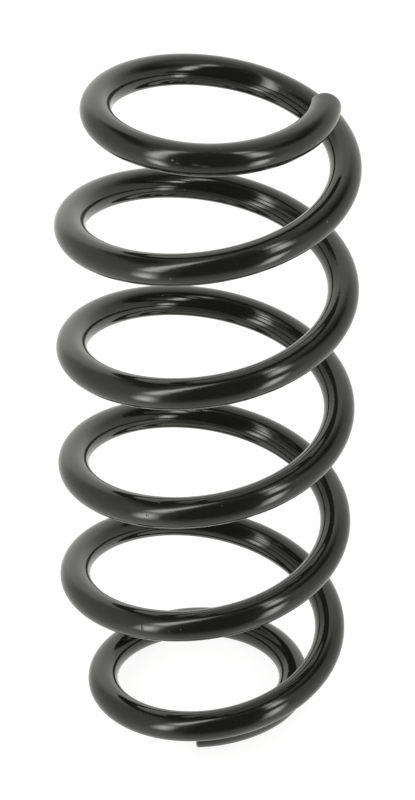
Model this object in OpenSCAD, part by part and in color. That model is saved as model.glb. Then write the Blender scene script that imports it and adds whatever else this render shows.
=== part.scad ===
// Helical compression spring of a car's suspension: one length of round steel wire, wound right-handed.
// The body turns are one diameter and one pitch. Towards each end the wire closes in on a spiral, a little
// to one side of the axis, and loses its pitch, so that the end turn lies flat on its seat. The last of the
// wire opens out again, because its tip is hardly bent. Both ends are sheared square.
// The spring stands on its lower end. The origin is on the coil's axis, in the plane that it stands on.

/* [Wire] */
// Diameter of the wire over its coating
wire_d = 13.7; // [10:0.1:16]
// Radius of the broken edge round each sheared end
end_edge_r = 1.2; // [0.4:0.1:2.5]

/* [Body] */
// Outer diameter of the body turns
body_od = 132; // [115:1:160]
// Overall height with no load
free_length = 320; // [260:1:400]
// Turns of wire from one sheared end to the other
total_turns = 6.285; // [4.5:0.005:8]
// Direction of the lower sheared end about the axis, in degrees from +X
start_angle = -100.9; // [-180:0.1:180]

/* [Lower end turn] */
// Outer diameter that the spiral of the lower turn closes in to
lower_od = 85.5; // [76:0.5:98]
// Turns of wire in that spiral, from the body to the tip
lower_spiral_turns = 1.47; // [1.2:0.01:1.7]
// How far the end of the spiral lies to the side of the coil's axis, towards +X
lower_aside = 4.5; // [0:0.1:6]
// How far the tip stands out from the spiral
lower_tip_out = 5; // [0:0.1:7]
// Turns of wire over which it opens out
lower_tip_turns = 0.16; // [0.05:0.01:0.25]
// Turns of wire that lie flat on the seat
lower_flat_turns = 0.57; // [0.45:0.01:0.66]
// Turns over which the pitch builds up from flat
lower_ease_turns = 0.64; // [0.4:0.01:0.8]

/* [Upper end turn] */
// Outer diameter that the spiral of the upper turn closes in to
upper_od = 98.5; // [86:0.5:114]
// Turns of wire in that spiral, from the body to the tip
upper_spiral_turns = 1.18; // [1:0.01:1.6]
// How far the end of the spiral lies to the side of the coil's axis, towards +X
upper_aside = 2.4; // [0:0.1:6]
// How far the tip stands out from the spiral
upper_tip_out = 4.2; // [0:0.1:7]
// Turns of wire over which it opens out
upper_tip_turns = 0.24; // [0.05:0.01:0.3]
// Turns of wire that lie flat against the seat
upper_flat_turns = 0.31; // [0.05:0.01:0.5]
// Turns over which the pitch dies away to flat
upper_ease_turns = 0.77; // [0.5:0.01:1]

/* [Smoothness] */
// Flats round the wire, in fours so that one corner always meets the seat
wire_sides = 20; // [12:4:20]
// Rings of corners in each turn
rings_per_turn = 44; // [24:4:44]
// Rings that round the edge of a sheared end
edge_rings = 4; // [2:1:4]

/* [Hidden] */

wire_r = wire_d / 2;
body_r = (body_od - wire_d) / 2;
lower_r = (lower_od - wire_d) / 2;
upper_r = (upper_od - wire_d) / 2;

// Turns of pitch that each end gives up by lying flat and then easing in
lower_lost_turns = lower_flat_turns + lower_ease_turns / 3;
upper_lost_turns = upper_flat_turns + upper_ease_turns / 3;
pitch = (free_length - wire_d) / (total_turns - lower_lost_turns - upper_lost_turns);

// An S-shaped step from 0 to 1 as t goes from 0 to 1
function clamped(t) = min(max(t, 0), 1);
function step(t) = let (c = clamped(t)) c * c * (3 - 2 * c);

// Turns of full pitch gained at a distance of that many turns from an end. Past the flat part the slope
// c * (2 - c) builds up quickly at first, and this is the area under it.
function gained(turns, flat, ease) =
    let (t = (turns - flat) / ease, c = clamped(t))
    ease * (c * c * (1 - c / 3) + max(t - 1, 0));

// How far the wire has closed in, from 0 in the body to 1 at the lower or the upper tip
function lower_share(u) = 1 - step(u / lower_spiral_turns);
function upper_share(u) = 1 - step((total_turns - u) / upper_spiral_turns);

// How far a tip stands out from its spiral, at a distance of that many turns from its end
function tip_out(turns, out, tip_turns) = out * pow(max(1 - turns / tip_turns, 0), 2);

// Radius, sideways shift, height and direction of the wire's centre line, u turns from the lower end
function coil_r(u) = body_r
    - (body_r - lower_r) * lower_share(u) + tip_out(u, lower_tip_out, lower_tip_turns)
    - (body_r - upper_r) * upper_share(u) + tip_out(total_turns - u, upper_tip_out, upper_tip_turns);
function coil_aside(u) = lower_aside * lower_share(u) + upper_aside * upper_share(u);
function coil_z(u) =
    let (from_top = total_turns - u)
    wire_r + pitch * (gained(u, lower_flat_turns, lower_ease_turns)
        + from_top - gained(from_top, upper_flat_turns, upper_ease_turns) - upper_lost_turns);
function coil_angle(u) = start_angle + 360 * u;

// Centre line and its direction of travel
function outward(u) = [cos(coil_angle(u)), sin(coil_angle(u)), 0];
function centre(u) = coil_r(u) * outward(u) + [coil_aside(u), 0, coil_z(u)];
function unit(v) = v / norm(v);
nudge = 0.001;
function along(u) = unit(centre(u + nudge) - centre(u - nudge));

// One ring of corners square to the wire, of radius r, u turns from the lower end
function ring(u, r) =
    let (mid = centre(u), side = unit(cross(along(u), outward(u))), out = cross(side, along(u)))
    [for (i = [0:wire_sides - 1])
        let (a = 360 * i / wire_sides) mid + r * (cos(a) * out + sin(a) * side)];

// The part of a turn that a short length of wire takes up on a coil of radius r
function turns_in(length, r) = length / (2 * PI * r);

// Rings over the rounded edge of a sheared end, as [turns from that end, radius]
function edge_stations(end_r) = [
    for (k = [0:edge_rings - 1])
        let (a = 90 * k / edge_rings)
        [turns_in(end_edge_r * (1 - cos(a)), end_r), wire_r - end_edge_r * (1 - sin(a))]];

function reversed(list) = [for (i = [len(list) - 1:-1:0]) list[i]];

// Every ring along the wire, as [turns from the lower end, radius]
function stations() =
    let (lower_end_r = coil_r(0), upper_end_r = coil_r(total_turns))
    let (first = turns_in(end_edge_r, lower_end_r), last = total_turns - turns_in(end_edge_r, upper_end_r))
    let (steps = round(rings_per_turn * total_turns))
    concat(edge_stations(lower_end_r),
        [for (k = [0:steps]) [first + (last - first) * k / steps, wire_r]],
        reversed([for (s = edge_stations(upper_end_r)) [total_turns - s[0], s[1]]]));

// Closes a skin over equal rings of corners, with a flat cap on the first and the last
module skin(rings) {
    sides = len(rings[0]);
    last = (len(rings) - 1) * sides;
    corners = [for (one = rings, corner = one) corner];
    walls = [for (j = [0:len(rings) - 2], i = [0:sides - 1], half = [0, 1])
        let (a = j * sides + i, b = j * sides + (i + 1) % sides)
        half == 0 ? [a, a + sides, b + sides] : [a, b + sides, b]];
    first_cap = [for (i = [0:sides - 1]) i];
    last_cap = [for (i = [sides - 1:-1:0]) last + i];
    polyhedron(points = corners, faces = concat(walls, [first_cap, last_cap]), convexity = 10);
}

// The whole spring: one round wire swept along the coil
module coil_spring() {
    color("#1c1d1e")
        skin([for (s = stations()) ring(s[0], s[1])]);
}

coil_spring();
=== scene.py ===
import math

import bpy
from mathutils import Matrix, Vector


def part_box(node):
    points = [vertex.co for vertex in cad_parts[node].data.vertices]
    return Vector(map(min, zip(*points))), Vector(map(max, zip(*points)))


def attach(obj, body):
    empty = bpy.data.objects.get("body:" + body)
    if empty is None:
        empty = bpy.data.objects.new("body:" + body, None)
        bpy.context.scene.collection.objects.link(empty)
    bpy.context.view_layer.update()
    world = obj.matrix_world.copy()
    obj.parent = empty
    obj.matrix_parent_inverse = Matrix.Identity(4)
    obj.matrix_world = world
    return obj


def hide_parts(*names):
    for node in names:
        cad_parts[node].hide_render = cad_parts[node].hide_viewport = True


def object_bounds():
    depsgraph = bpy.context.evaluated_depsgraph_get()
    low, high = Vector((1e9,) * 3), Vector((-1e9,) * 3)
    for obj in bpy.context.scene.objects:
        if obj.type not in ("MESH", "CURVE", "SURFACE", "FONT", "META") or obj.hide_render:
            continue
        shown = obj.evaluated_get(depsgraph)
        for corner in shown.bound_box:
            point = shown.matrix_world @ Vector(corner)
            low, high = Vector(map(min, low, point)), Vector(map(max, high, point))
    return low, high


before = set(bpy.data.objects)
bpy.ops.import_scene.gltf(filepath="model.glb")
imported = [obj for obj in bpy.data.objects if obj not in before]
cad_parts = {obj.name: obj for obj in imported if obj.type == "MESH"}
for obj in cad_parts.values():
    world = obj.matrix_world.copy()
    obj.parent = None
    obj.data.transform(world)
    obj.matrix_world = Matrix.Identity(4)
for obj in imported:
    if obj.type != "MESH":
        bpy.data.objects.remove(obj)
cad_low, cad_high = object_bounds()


# Coil spring: one length of round spring steel wire, wound hot and right-handed. Towards each end it closes
# in on a spiral, a little to one side, and comes to lie flat on its seat, and its tip opens out again. Both
# ends are sheared square and their edges rounded, and then the whole spring is coated gloss black.
class Value:
    """One output in a node tree. Sums on it are written as in ordinary Python."""

    def __init__(self, tree, socket):
        self.tree = tree
        self.socket = socket

    def math(self, operation, *others, **settings):
        """The result of one of the sums that a node can do, on this value and the others."""
        inputs = {i: value for i, value in enumerate([self, *others])}
        return self.tree.add("ShaderNodeMath", {"operation": operation, **settings}, inputs)

    def __add__(self, other):
        return self.math("ADD", other)

    __radd__ = __add__

    def __mul__(self, other):
        return self.math("MULTIPLY", other)

    __rmul__ = __mul__

    def __sub__(self, other):
        return self.math("SUBTRACT", other)

    def __rsub__(self, other):
        return self.math("MULTIPLY_ADD", -1.0, other)

    def __truediv__(self, other):
        return self.math("DIVIDE", other)

    def clamped(self):
        """The value, kept between 0 and 1."""
        return self.math("ADD", 0.0, use_clamp=True)

    def ramp(self, start, end, form="SMOOTHSTEP"):
        """0 up to the start, 1 from the end on, and a ramp of that form between them."""
        return self.tree.add("ShaderNodeMapRange", {"interpolation_type": form}, {
            "Value": self, "From Min": start, "From Max": end,
        })


class Tree:
    """A node tree that is built from expressions."""

    def __init__(self, tree):
        self.tree = tree

    def add(self, kind, settings=None, inputs=None, output=0):
        """Adds a node, with its settings first and then the values or links of its sockets."""
        node = self.tree.nodes.new(kind)
        settings = dict(settings or {})
        for i, (place, level) in enumerate(settings.pop("stops", [])):
            stop = node.color_ramp.elements[i] if i < 2 else node.color_ramp.elements.new(place)
            stop.position = place
            stop.color = (level, level, level, 1)
        for name, value in settings.items():
            setattr(node, name, value)
        for name, value in (inputs or {}).items():
            if isinstance(value, Value):
                self.tree.links.new(value.socket, node.inputs[name])
            else:
                node.inputs[name].default_value = value
        return None if output is None else Value(self, node.outputs[output])


# Lengths are in metres, and the start angle is the lower tip's direction about the axis
spring_low, spring_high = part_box("coil_spring")
spring_sizes = {
    "Wire diameter": 0.0137,
    "Body outer diameter": 0.132,
    "Free length": spring_high.z - spring_low.z,
    "Turns": 6.285,
    "Start angle": math.radians(-100.9),
    "Edge radius": 0.0012,
    "Lower outer diameter": 0.0855,
    "Lower spiral turns": 1.47,
    "Lower aside": 0.0045,
    "Lower tip out": 0.005,
    "Lower tip turns": 0.16,
    "Lower flat turns": 0.57,
    "Lower ease turns": 0.64,
    "Upper outer diameter": 0.0985,
    "Upper spiral turns": 1.18,
    "Upper aside": 0.0024,
    "Upper tip out": 0.0042,
    "Upper tip turns": 0.24,
    "Upper flat turns": 0.31,
    "Upper ease turns": 0.77,
}
spring_counts = {"Rings": 1000, "Edge rings": 6, "Sides": 48}


def turns_lost(size, end):
    """Turns of pitch that an end gives up by lying flat and then easing in."""
    return size[end + " flat turns"] + size[end + " ease turns"] * (1 / 3)


def turns_gained(size, turns, end):
    """Turns of full pitch gained at that distance from an end. There are none along the flat part, and past
    it the slope c * (2 - c) builds up quickly at first."""
    t = (turns - size[end + " flat turns"]) / size[end + " ease turns"]
    c = t.clamped()
    return size[end + " ease turns"] * (c * c * (1.0 - c * (1 / 3)) + (t - 1.0).math("MAXIMUM", 0.0))


def spiral_share(size, turns, end):
    """How far the spiral has closed in at that distance from an end, up to 1 at its tip."""
    return 1.0 - turns.ramp(0.0, size[end + " spiral turns"])


def drawn_in(size, turns, end):
    """How far the middle of the wire is drawn in from the body there. The tip opens out again."""
    depth = (size["Body outer diameter"] - size[end + " outer diameter"]) * 0.5
    opened = (1.0 - turns / size[end + " tip turns"]).math("MAXIMUM", 0.0)
    return depth * spiral_share(size, turns, end) - size[end + " tip out"] * opened * opened


def wire_middle(tree, size, turns):
    """Where the middle of the wire is, that many turns from the lower end."""
    from_top = size["Turns"] - turns
    full_turns = size["Turns"] - turns_lost(size, "Lower") - turns_lost(size, "Upper")
    pitch = (size["Free length"] - size["Wire diameter"]) / full_turns
    upper_rise = from_top - turns_gained(size, from_top, "Upper") - turns_lost(size, "Upper")
    body_radius = (size["Body outer diameter"] - size["Wire diameter"]) * 0.5
    radius = body_radius - drawn_in(size, turns, "Lower") - drawn_in(size, from_top, "Upper")
    lower_aside = size["Lower aside"] * spiral_share(size, turns, "Lower")
    upper_aside = size["Upper aside"] * spiral_share(size, from_top, "Upper")
    angle = size["Start angle"] + 2 * math.pi * turns
    return tree.add("ShaderNodeCombineXYZ", None, {
        "X": radius * angle.math("COSINE") + lower_aside + upper_aside,
        "Y": radius * angle.math("SINE"),
        "Z": size["Wire diameter"] * 0.5 + pitch * (turns_gained(size, turns, "Lower") + upper_rise),
    })


def edge_turns(size, end):
    """The part of a turn that the rounded edge of a sheared end takes up."""
    tip_radius = (size[end + " outer diameter"] - size["Wire diameter"]) * 0.5 + size[end + " tip out"]
    return size["Edge radius"] / (2.0 * math.pi * tip_radius)


def ring_places(size, index, last):
    """How many turns each ring is from the lower end, and its radius. The rings close up towards each
    sheared end, to round its edge."""
    rings = size["Edge rings"]
    lower_turn = math.pi / 2 * (index / rings).clamped()
    upper_turn = math.pi / 2 * ((last - index) / rings).clamped()
    part = ((index - rings) / (last - 2.0 * rings)).clamped()
    between = size["Turns"] - edge_turns(size, "Lower") - edge_turns(size, "Upper")
    turns = (
        edge_turns(size, "Lower") * (1.0 - lower_turn.math("COSINE"))
        + between * part
        + edge_turns(size, "Upper") * upper_turn.math("COSINE")
    )
    cut_back = size["Edge radius"] * (2.0 - lower_turn.math("SINE") - upper_turn.math("SINE"))
    return turns, size["Wire diameter"] * 0.5 - cut_back


def stored(tree, geometry, name, kind, value):
    """The geometry with a value at each of its points, under a name that the coating reads."""
    return tree.add("GeometryNodeStoreNamedAttribute", {"data_type": kind}, {
        "Geometry": geometry, "Name": name, "Value": value,
    })


def coil_tree(sizes, counts):
    """Geometry nodes that sweep a round section along the coil."""
    group = bpy.data.node_groups.new("coil", "GeometryNodeTree")
    group.interface.new_socket("Geometry", in_out="OUTPUT", socket_type="NodeSocketGeometry")
    for name in sizes:
        group.interface.new_socket(name, in_out="INPUT", socket_type="NodeSocketFloat")
    for name in counts:
        group.interface.new_socket(name, in_out="INPUT", socket_type="NodeSocketInt")
    group.interface.new_socket("Coating", in_out="INPUT", socket_type="NodeSocketMaterial")
    tree = Tree(group)
    given = group.nodes.new("NodeGroupInput")
    size = {socket.name: Value(tree, socket) for socket in given.outputs if socket.name}

    index = tree.add("GeometryNodeInputIndex")
    ring_count = size["Rings"] + 2.0 * size["Edge rings"]
    last = ring_count - 1.0
    turns, ring_radius = ring_places(size, index, last)
    line = tree.add("GeometryNodeMeshLine", None, {"Count": ring_count})
    line = tree.add("GeometryNodeSetPosition", None, {
        "Geometry": line, "Position": wire_middle(tree, size, turns),
    })
    curve = tree.add("GeometryNodeMeshToCurve", None, {"Mesh": line})
    curve = tree.add("GeometryNodeSetCurveNormal", {"mode": "Z_UP"}, {"Curve": curve})
    length = tree.add("GeometryNodeSplineParameter", output="Length")
    curve = stored(tree, curve, "along", "FLOAT", length)
    sheared = 1.0 - index.math("MINIMUM", last - index).clamped()
    curve = stored(tree, curve, "sheared", "FLOAT", sheared)
    section = tree.add("GeometryNodeCurvePrimitiveCircle", None, {
        "Resolution": size["Sides"], "Radius": 1.0,
    })
    section = stored(tree, section, "round", "FLOAT_VECTOR", tree.add("GeometryNodeInputPosition"))
    skin = tree.add("GeometryNodeCurveToMesh", None, {
        "Curve": curve, "Profile Curve": section, "Scale": ring_radius, "Fill Caps": True,
    })
    skin = tree.add("GeometryNodeRealizeInstances", None, {"Geometry": skin})
    skin = tree.add("GeometryNodeSetMaterial", None, {"Geometry": skin, "Material": size["Coating"]})
    out = group.nodes.new("NodeGroupOutput")
    group.links.new(skin.socket, out.inputs["Geometry"])
    return group


# The coating, and how much dust colour, roughness and height, in metres, each thing that shows in it adds
coating_black = (0.0085, 0.0085, 0.0078, 1)
coating_dust = (1.0, 1.0, 0.95, 1)
coating_roughness = 0.045
coating_ior = 1.5
added_dust = {"clouds": 0.002, "specks": 0.11, "rubbed": 0.02}
added_roughness = {"clouds": 0.03, "specks": 0.4, "sheared": 0.1, "rubbed": 0.35}
added_height = {
    "orange peel": 0.00002,
    "draw marks": 0.000012,
    "torn grain": 0.00012,
    "specks": 0.00002,
    "ridge": 0.00007,
    "crater": -0.00007,
}

# Waves per metre of each noise in the coating, and how many finer ones are added to them
coating_noise = {
    "clouds": (45.0, 3.0),
    "orange peel": (330.0, 1.0),
    "draw marks": (900.0, 2.0),
    "torn grain": (900.0, 4.0),
}

# Single flaws in the front of the coil, each as its place, its length along X, and its width
larger_specks = [
    ((-0.0146, -0.0489, 0.3155), 0.0007, 0.0006),
    ((-0.0576, -0.0315, 0.262), 0.0007, 0.0007),
    ((0.0497, -0.0417, 0.2826), 0.0007, 0.0007),
]
rubbed_streaks = [
    ((-0.0125, -0.0496, 0.3146), 0.0026, 0.0007),
    ((-0.0052, -0.051, 0.3146), 0.003, 0.0009),
    ((-0.0014, -0.0513, 0.3141), 0.0032, 0.0008),
]
crater = ((-0.0248, -0.0607, 0.1447), 0.0009, 0.0009)
ridge = ((-0.0272, -0.0598, 0.0824), 0.0006, 0.0022)


def noise(tree, place, name):
    """Cloudy noise, from 0 to 1."""
    waves, finer = coating_noise[name]
    return tree.add("ShaderNodeTexNoise", None, {"Vector": place, "Scale": waves, "Detail": finer})


def draw_marks(tree):
    """Marks that the drawing die left lengthwise in the wire, and that show through its coating. They are a
    noise that reads a length along the wire as a hundredth of it, and so is drawn out."""
    drawn_out = 0.01
    along = tree.add("ShaderNodeAttribute", {"attribute_name": "along"}, output="Fac")
    around = tree.add("ShaderNodeAttribute", {"attribute_name": "round"}, output="Vector")
    wire_radius = spring_sizes["Wire diameter"] / 2
    around = tree.add("ShaderNodeVectorMath", {"operation": "SCALE"}, {0: around, "Scale": wire_radius})
    along = tree.add("ShaderNodeCombineXYZ", None, {"Z": along * drawn_out})
    on_wire = tree.add("ShaderNodeVectorMath", {"operation": "ADD"}, {0: around, 1: along})
    return noise(tree, on_wire, "draw marks")


def dust(tree, place, clouds):
    """Small specks, each in its own cell. Most cells are empty, and the specks gather in drifts."""
    cells_per_metre = 400.0
    # A speck's edge and its full height, as shares of a cell's width from its middle
    speck_reach = (0.1222, 0.0667)
    # The share of cells that stay empty, and the share that don't have a full speck
    cell_lots = (0.85, 0.95)
    # How dense the clouds are where a drift begins, and where it is full
    drift_density = (0.4, 0.543)
    cell = {"Vector": place, "Scale": cells_per_metre}
    away = tree.add("ShaderNodeTexVoronoi", {"feature": "F1"}, cell, "Distance")
    lot = tree.add("ShaderNodeTexVoronoi", {"feature": "F1"}, cell, "Color")
    lot = tree.add("ShaderNodeSeparateColor", None, {"Color": lot}, "Red")
    chosen = lot.ramp(*cell_lots, "LINEAR") * clouds.ramp(*drift_density, "LINEAR")
    return away.ramp(*speck_reach, "LINEAR") * chosen


def flaw(tree, place, middle, length, width):
    """How deep in a flaw each point is, from 0 at its edge to 1 at its middle."""
    away = tree.add("ShaderNodeVectorMath", {"operation": "SUBTRACT"}, {0: place, 1: middle})
    reach = (length, width, width)
    away = tree.add("ShaderNodeVectorMath", {"operation": "DIVIDE"}, {0: away, 1: reach})
    away = tree.add("ShaderNodeVectorMath", {"operation": "LENGTH"}, {0: away}, "Value")
    return away.ramp(1.0, 0.0)


def gloss_black():
    """Black powder coat, flowed out smooth over the wire, with a little dust baked into it. The shear tears
    the steel at the ends, and the coating doesn't quite fill that grain."""
    material = bpy.data.materials.new("gloss_black_coating")
    material.use_nodes = True
    tree = Tree(material.node_tree)
    shader = material.node_tree.nodes["Principled BSDF"]
    place = tree.add("ShaderNodeTexCoord", output="Object")
    sheared = tree.add("ShaderNodeAttribute", {"attribute_name": "sheared"}, output="Fac")
    clouds = noise(tree, place, "clouds")
    shown = {
        "clouds": clouds,
        "specks": dust(tree, place, clouds) + sum(flaw(tree, place, *speck) for speck in larger_specks),
        "rubbed": sum(flaw(tree, place, *streak) for streak in rubbed_streaks),
        "ridge": flaw(tree, place, *ridge),
        "crater": flaw(tree, place, *crater),
        "orange peel": noise(tree, place, "orange peel"),
        "draw marks": draw_marks(tree),
        "sheared": sheared,
        "torn grain": sheared * noise(tree, place, "torn grain"),
    }

    def added(amounts):
        """What all that shows in the coating adds up to, with so much of each."""
        return sum(shown[name] * amount for name, amount in amounts.items())

    colour = tree.add("ShaderNodeMix", {"data_type": "RGBA"}, {
        "Factor": added(added_dust), 6: coating_black, 7: coating_dust,
    }, 2)
    roughness = coating_roughness + added(added_roughness)
    bump = tree.add("ShaderNodeBump", None, {
        "Strength": 1.0, "Distance": 1.0, "Height": added(added_height),
    })
    tree.tree.links.new(colour.socket, shader.inputs["Base Color"])
    tree.tree.links.new(roughness.socket, shader.inputs["Roughness"])
    tree.tree.links.new(bump.socket, shader.inputs["Normal"])
    shader.inputs["IOR"].default_value = coating_ior
    return material


def wound(name, sizes, counts, material):
    """The swept coil as a plain mesh. The wire is smooth, and its sheared ends are flat."""
    holder = bpy.data.objects.new("holder", bpy.data.meshes.new("holder"))
    bpy.context.scene.collection.objects.link(holder)
    modifier = holder.modifiers.new("coil", "NODES")
    modifier.node_group = coil_tree(sizes, counts)
    given = {**sizes, **counts, "Coating": material}
    for item in modifier.node_group.interface.items_tree:
        if item.in_out == "INPUT":
            modifier[item.identifier] = given[item.name]
    evaluated = holder.evaluated_get(bpy.context.evaluated_depsgraph_get())
    mesh = bpy.data.meshes.new_from_object(evaluated)
    mesh.name = name
    for face in mesh.polygons:
        face.use_smooth = len(face.vertices) == 4
    bpy.data.objects.remove(holder)
    piece = bpy.data.objects.new(name, mesh)
    bpy.context.scene.collection.objects.link(piece)
    return piece


spring = wound("spring_wire", spring_sizes, spring_counts, gloss_black())
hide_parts("coil_spring")
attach(spring, "root")


# Floor: a plain white card that the spring stands on. The camera sees it nearly white, most of it by its
# own glow and the rest by the light on it, which leaves the spring's faint shadow. The gloss looks past it,
# at the lower part of the tent.
floor_reach = 8.0
card_white = (0.9, 0.9, 0.9, 1)
card_glow = (1, 1, 1, 1)
card_glow_level = 1.16
card_glow_share = 0.78


def white_card():
    """White paper, which glows for the camera alone."""
    material = bpy.data.materials.new("white_card")
    material.use_nodes = True
    material.node_tree.nodes.clear()
    tree = Tree(material.node_tree)
    paper = tree.add("ShaderNodeBsdfDiffuse", None, {"Color": card_white})
    glow = tree.add("ShaderNodeEmission", None, {"Color": card_glow, "Strength": card_glow_level})
    seen = tree.add("ShaderNodeLightPath", output="Is Camera Ray")
    mixed = tree.add("ShaderNodeMixShader", None, {0: seen * card_glow_share, 1: paper, 2: glow})
    tree.add("ShaderNodeOutputMaterial", None, {"Surface": mixed}, None)
    return material


floor_mesh = bpy.data.meshes.new("floor")
floor_mesh.from_pydata([
    (-floor_reach, -floor_reach, 0),
    (floor_reach, -floor_reach, 0),
    (floor_reach, floor_reach, 0),
    (-floor_reach, floor_reach, 0),
], [], [(0, 1, 2, 3)])
floor_mesh.materials.append(white_card())
floor = bpy.data.objects.new("floor", floor_mesh)
bpy.context.scene.collection.objects.link(floor)
floor.visible_glossy = False
floor.visible_shadow = False


# Light tent: white cloth round the spring, open at the front towards the camera, with a dark room beyond.
# Its level changes with height, and differs from side to side. The camera sees plain white past the floor.
tent_tint = (1.0, 1.0, 0.97, 1)
camera_white = (1, 1, 1, 1)

# The level of each part of the tent at some elevations, in degrees
tent_levels = {
    "front": {-90: 0.9, -52: 0.86, -38: 0.68, -24: 0.24, -12: 0.0, 60: 0.03, 76: 0.22},
    "left lamps": {-90: 0.95, -45: 1.23, -25: 1.17, 0: 0.8, 36: 0.9, 56: 0.74, 70: 0.96},
    "right lamps": {-90: 0.95, -45: 1.34, -25: 1.44, 0: 0.72, 36: 0.9, 56: 0.6, 70: 1.0},
    "left": {-90: 1.1, -40: 1.03, -12: 0.88, 8: 0.77, 40: 0.7, 62: 0.51, 80: 0.78},
    "right": {-90: 1.1, -40: 1.09, -12: 0.94, 8: 0.85, 26: 0.68, 60: 0.78, 76: 0.54},
    "back": {-90: 0.65, -40: 0.86, -20: 1.09, -6: 1.15, 8: 1.42, 38: 1.4, 62: 1.06, 80: 0.63},
}

# Where the left half turns into the right half, as a share of the way to the right
left_to_right = (-0.3, 0.3)
# Where one part turns into the next, in degrees to either side of the front
lamps_to_sides = (56.0, 84.0)
left_to_back = (126.0, 153.0)
right_to_back = (114.0, 163.0)
# Where the opening begins on its left and on its right, in degrees to the right of the front
opening_left = (-49.5, -20.0)
opening_right = (68.0, 18.0)


def tent_part(tree, elevation, name):
    """The level of one part of the tent at each elevation."""
    stops = [(0.5 + degrees / 180, level) for degrees, level in tent_levels[name].items()]
    return tree.add("ShaderNodeValToRGB", {"stops": stops}, {"Fac": elevation * (1 / 180) + 0.5})


def tent_blend(tree, share, one, other, blend="MIX"):
    """One level that turns into the other as the share goes from 0 to 1."""
    return tree.add("ShaderNodeMix", {"data_type": "RGBA", "blend_type": blend}, {
        "Factor": share, 6: one, 7: other,
    }, 2)


def tent_level(tree):
    """The level of the whole tent in each direction."""
    towards = tree.add("ShaderNodeTexCoord", output="Generated")
    x, y, z = (tree.add("ShaderNodeSeparateXYZ", None, {"Vector": towards}, axis) for axis in "XYZ")
    elevation = z.math("ARCSINE") * (180 / math.pi)
    turned = x.math("ARCTAN2", y * -1.0) * (180 / math.pi)
    aside = turned.math("ABSOLUTE")
    rightward = x.ramp(*left_to_right)
    part = {name: tent_part(tree, elevation, name) for name in tent_levels}
    left = tent_blend(tree, aside.ramp(*left_to_back), part["left"], part["back"])
    right = tent_blend(tree, aside.ramp(*right_to_back), part["right"], part["back"])
    sides = tent_blend(tree, rightward, left, right)
    by_lamps = tent_blend(tree, rightward, part["left lamps"], part["right lamps"])
    cloth = tent_blend(tree, aside.ramp(*lamps_to_sides), by_lamps, sides)
    opening = turned.ramp(*opening_left) * turned.ramp(*opening_right)
    return tent_blend(tree, opening, cloth, part["front"])


world = bpy.data.worlds.new("light_tent")
world.use_nodes = True
world.node_tree.nodes.clear()
bpy.context.scene.world = world
world_tree = Tree(world.node_tree)
tent = tent_blend(world_tree, 1.0, tent_level(world_tree), tent_tint, "MULTIPLY")
tent_seen = world_tree.add("ShaderNodeLightPath", output="Is Camera Ray")
tent = tent_blend(world_tree, tent_seen, tent, camera_white)
tent = world_tree.add("ShaderNodeBackground", None, {"Color": tent, "Strength": 1.0})
world_tree.add("ShaderNodeOutputWorld", None, {"Surface": tent}, None)


# Flags: two bands of black cloth hung between the tent's sides and its roof, bent round the spring. They
# are thin along their edges, where they fade out. Only the gloss shows them.
spring_middle = Vector((0, 0, (cad_low.z + cad_high.z) / 2))
cloth_black = (0, 0, 0, 1)
flag_steps_across = 48
flag_steps_up = 16
# Each band is level there, in degrees to the side of the front, and leans away on either side
flag_level_at = 98


def flag_cloth(name, across_fade, up_fade, cover):
    """Black cloth that covers that much at its middle, and fades between the first and the last two of the
    degrees given across it and up it."""
    material = bpy.data.materials.new(name)
    material.use_nodes = True
    material.node_tree.nodes.clear()
    tree = Tree(material.node_tree)
    spot = tree.add("ShaderNodeAttribute", {"attribute_name": "spot"}, output="Vector")
    across, up = (tree.add("ShaderNodeSeparateXYZ", None, {"Vector": spot}, axis) for axis in "XY")
    share = (
        across.ramp(across_fade[0], across_fade[1])
        * across.ramp(across_fade[3], across_fade[2])
        * up.ramp(up_fade[0], up_fade[1])
        * up.ramp(up_fade[3], up_fade[2])
    )
    black = tree.add("ShaderNodeBsdfDiffuse", None, {"Color": cloth_black})
    clear = tree.add("ShaderNodeBsdfTransparent")
    mixed = tree.add("ShaderNodeMixShader", None, {0: cover * share, 1: clear, 2: black})
    tree.add("ShaderNodeOutputMaterial", None, {"Surface": mixed}, None)
    return material


def flag(name, side, reach, across_fade, up_fade, lean, cover):
    """A band at that reach from the spring's middle, on the left if its side is -1 and the right if 1."""
    corners, spots = [], []
    for i in range(flag_steps_across + 1):
        for j in range(flag_steps_up + 1):
            across = across_fade[0] + (across_fade[3] - across_fade[0]) * i / flag_steps_across
            up = up_fade[0] + (up_fade[3] - up_fade[0]) * j / flag_steps_up
            azimuth = math.radians(side * across)
            height = math.radians(up + lean * abs(across - flag_level_at))
            corners.append(spring_middle + reach * Vector((
                math.cos(height) * math.sin(azimuth),
                -math.cos(height) * math.cos(azimuth),
                math.sin(height),
            )))
            spots.append((across, up, 0.0))
    row = flag_steps_up + 1
    faces = [
        (i * row + j, i * row + j + 1, (i + 1) * row + j + 1, (i + 1) * row + j)
        for i in range(flag_steps_across)
        for j in range(flag_steps_up)
    ]
    mesh = bpy.data.meshes.new(name)
    mesh.from_pydata(corners, [], faces)
    kept_spots = mesh.attributes.new("spot", "FLOAT_VECTOR", "POINT")
    for point, spot in zip(kept_spots.data, spots):
        point.vector = spot
    mesh.materials.append(flag_cloth(name, across_fade, up_fade, cover))
    band = bpy.data.objects.new(name, mesh)
    bpy.context.scene.collection.objects.link(band)
    band.visible_camera = False
    band.visible_diffuse = False
    band.visible_shadow = False


flag(
    "left_flag", -1, reach=0.62, across_fade=(50, 83, 125, 145), up_fade=(42, 57, 62, 71),
    lean=-0.12, cover=0.9,
)
flag(
    "right_flag", 1, reach=0.75, across_fade=(40, 80, 101, 160), up_fade=(25, 42, 46, 68),
    lean=0.16, cover=0.97,
)


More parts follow.
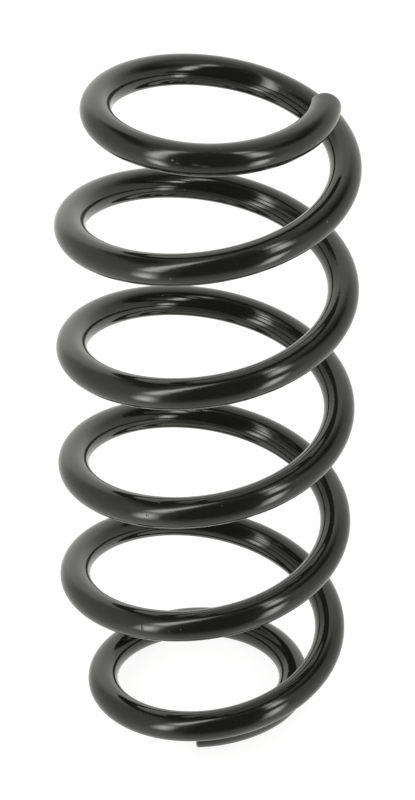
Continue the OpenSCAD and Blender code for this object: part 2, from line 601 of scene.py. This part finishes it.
# Lamps: six soft upright lamps inside the tent, three on either side of its opening, one over the other.
# The cloth over each one lets it fade out towards its edges.
lamp_tint = (1.0, 1.0, 0.95)


def soft_lamp(name, degrees, distance, width, low, high, low_fade, high_fade, level):
    """An upright lamp that faces the coil's axis, from one height to another. It fades out over a distance
    from its low and from its high end, and the level is that of its middle."""
    azimuth = math.radians(degrees)
    data = bpy.data.lights.new(name, "AREA")
    data.shape = "RECTANGLE"
    data.size = width
    data.size_y = high - low
    data.color = lamp_tint
    data.energy = level * math.pi * data.size * data.size_y
    data.use_nodes = True
    tree = Tree(data.node_tree)
    spot = tree.add("ShaderNodeNewGeometry", output="Parametric")
    across, up = (tree.add("ShaderNodeSeparateXYZ", None, {"Vector": spot}, axis) for axis in "XY")
    up = up * data.size_y
    shape = (
        (across - 0.5).math("ABSOLUTE").ramp(0.5, 0.0)
        * up.ramp(0.0, low_fade)
        * up.ramp(data.size_y, data.size_y - high_fade)
    )
    tree.tree.links.new(shape.socket, data.node_tree.nodes["Emission"].inputs["Strength"])
    lamp = bpy.data.objects.new(name, data)
    lamp.location = (distance * math.sin(azimuth), -distance * math.cos(azimuth), (low + high) / 2)
    lamp.rotation_euler = (math.radians(90), 0, azimuth)
    lamp.visible_camera = False
    bpy.context.scene.collection.objects.link(lamp)


soft_lamp(
    "left_lower", degrees=-43.5, distance=0.45, width=0.192,
    low=-0.125, high=0.35, low_fade=0.21, high_fade=0.26, level=7.5,
)
soft_lamp(
    "left_upper", degrees=-44.2, distance=0.45, width=0.2,
    low=0.248, high=1.45, low_fade=0.15, high_fade=0.78, level=6.9,
)
soft_lamp(
    "left_top", degrees=-49.0, distance=0.45, width=0.3,
    low=0.765, high=2.5, low_fade=0.35, high_fade=0.9, level=2.5,
)
soft_lamp(
    "right_lower", degrees=44.3, distance=0.6, width=0.26,
    low=-0.25, high=0.28, low_fade=0.315, high_fade=0.12, level=7.1,
)
soft_lamp(
    "right_upper", degrees=44.7, distance=0.6, width=0.273,
    low=0.425, high=1.13, low_fade=0.145, high_fade=0.35, level=7.4,
)
soft_lamp(
    "right_top", degrees=45.5, distance=0.6, width=0.325,
    low=0.96, high=2.32, low_fade=0.305, high_fade=0.84, level=5.2,
)


# Camera: it looks down on the spring from the front with a long lens, and is turned a little about its own
# axis. It aims just above the spring's middle. The sensor is as long as the picture's longer side, which is
# its height.
camera_elevation = math.radians(34.34)
camera_distance = 1.5849
camera_roll = math.radians(0.56)
camera_aim = spring_middle + Vector((0.00065, 0, 0.00412))
sensor_mm = 36
lens_pixels = 3569.2
picture_pixels = 800

from_front = Vector((0, -math.cos(camera_elevation), math.sin(camera_elevation)))
camera_place = spring_middle + camera_distance * from_front
forward = (camera_aim - camera_place).normalized()
level_right = forward.cross(Vector((0, 0, 1))).normalized()
level_up = level_right.cross(forward)
camera_right = math.cos(camera_roll) * level_right + math.sin(camera_roll) * level_up
camera_up = math.cos(camera_roll) * level_up - math.sin(camera_roll) * level_right
camera_turn = Matrix((camera_right, camera_up, -forward)).transposed().to_4x4()

camera_data = bpy.data.cameras.new("camera")
camera_data.sensor_width = sensor_mm
camera_data.lens = sensor_mm * lens_pixels / picture_pixels
camera_data.clip_end = 50
camera = bpy.data.objects.new("camera", camera_data)
bpy.context.scene.collection.objects.link(camera)
camera.matrix_world = Matrix.Translation(camera_place) @ camera_turn
bpy.context.scene.camera = camera

# Colours are shown as they are written
bpy.context.scene.view_settings.view_transform = "Standard"
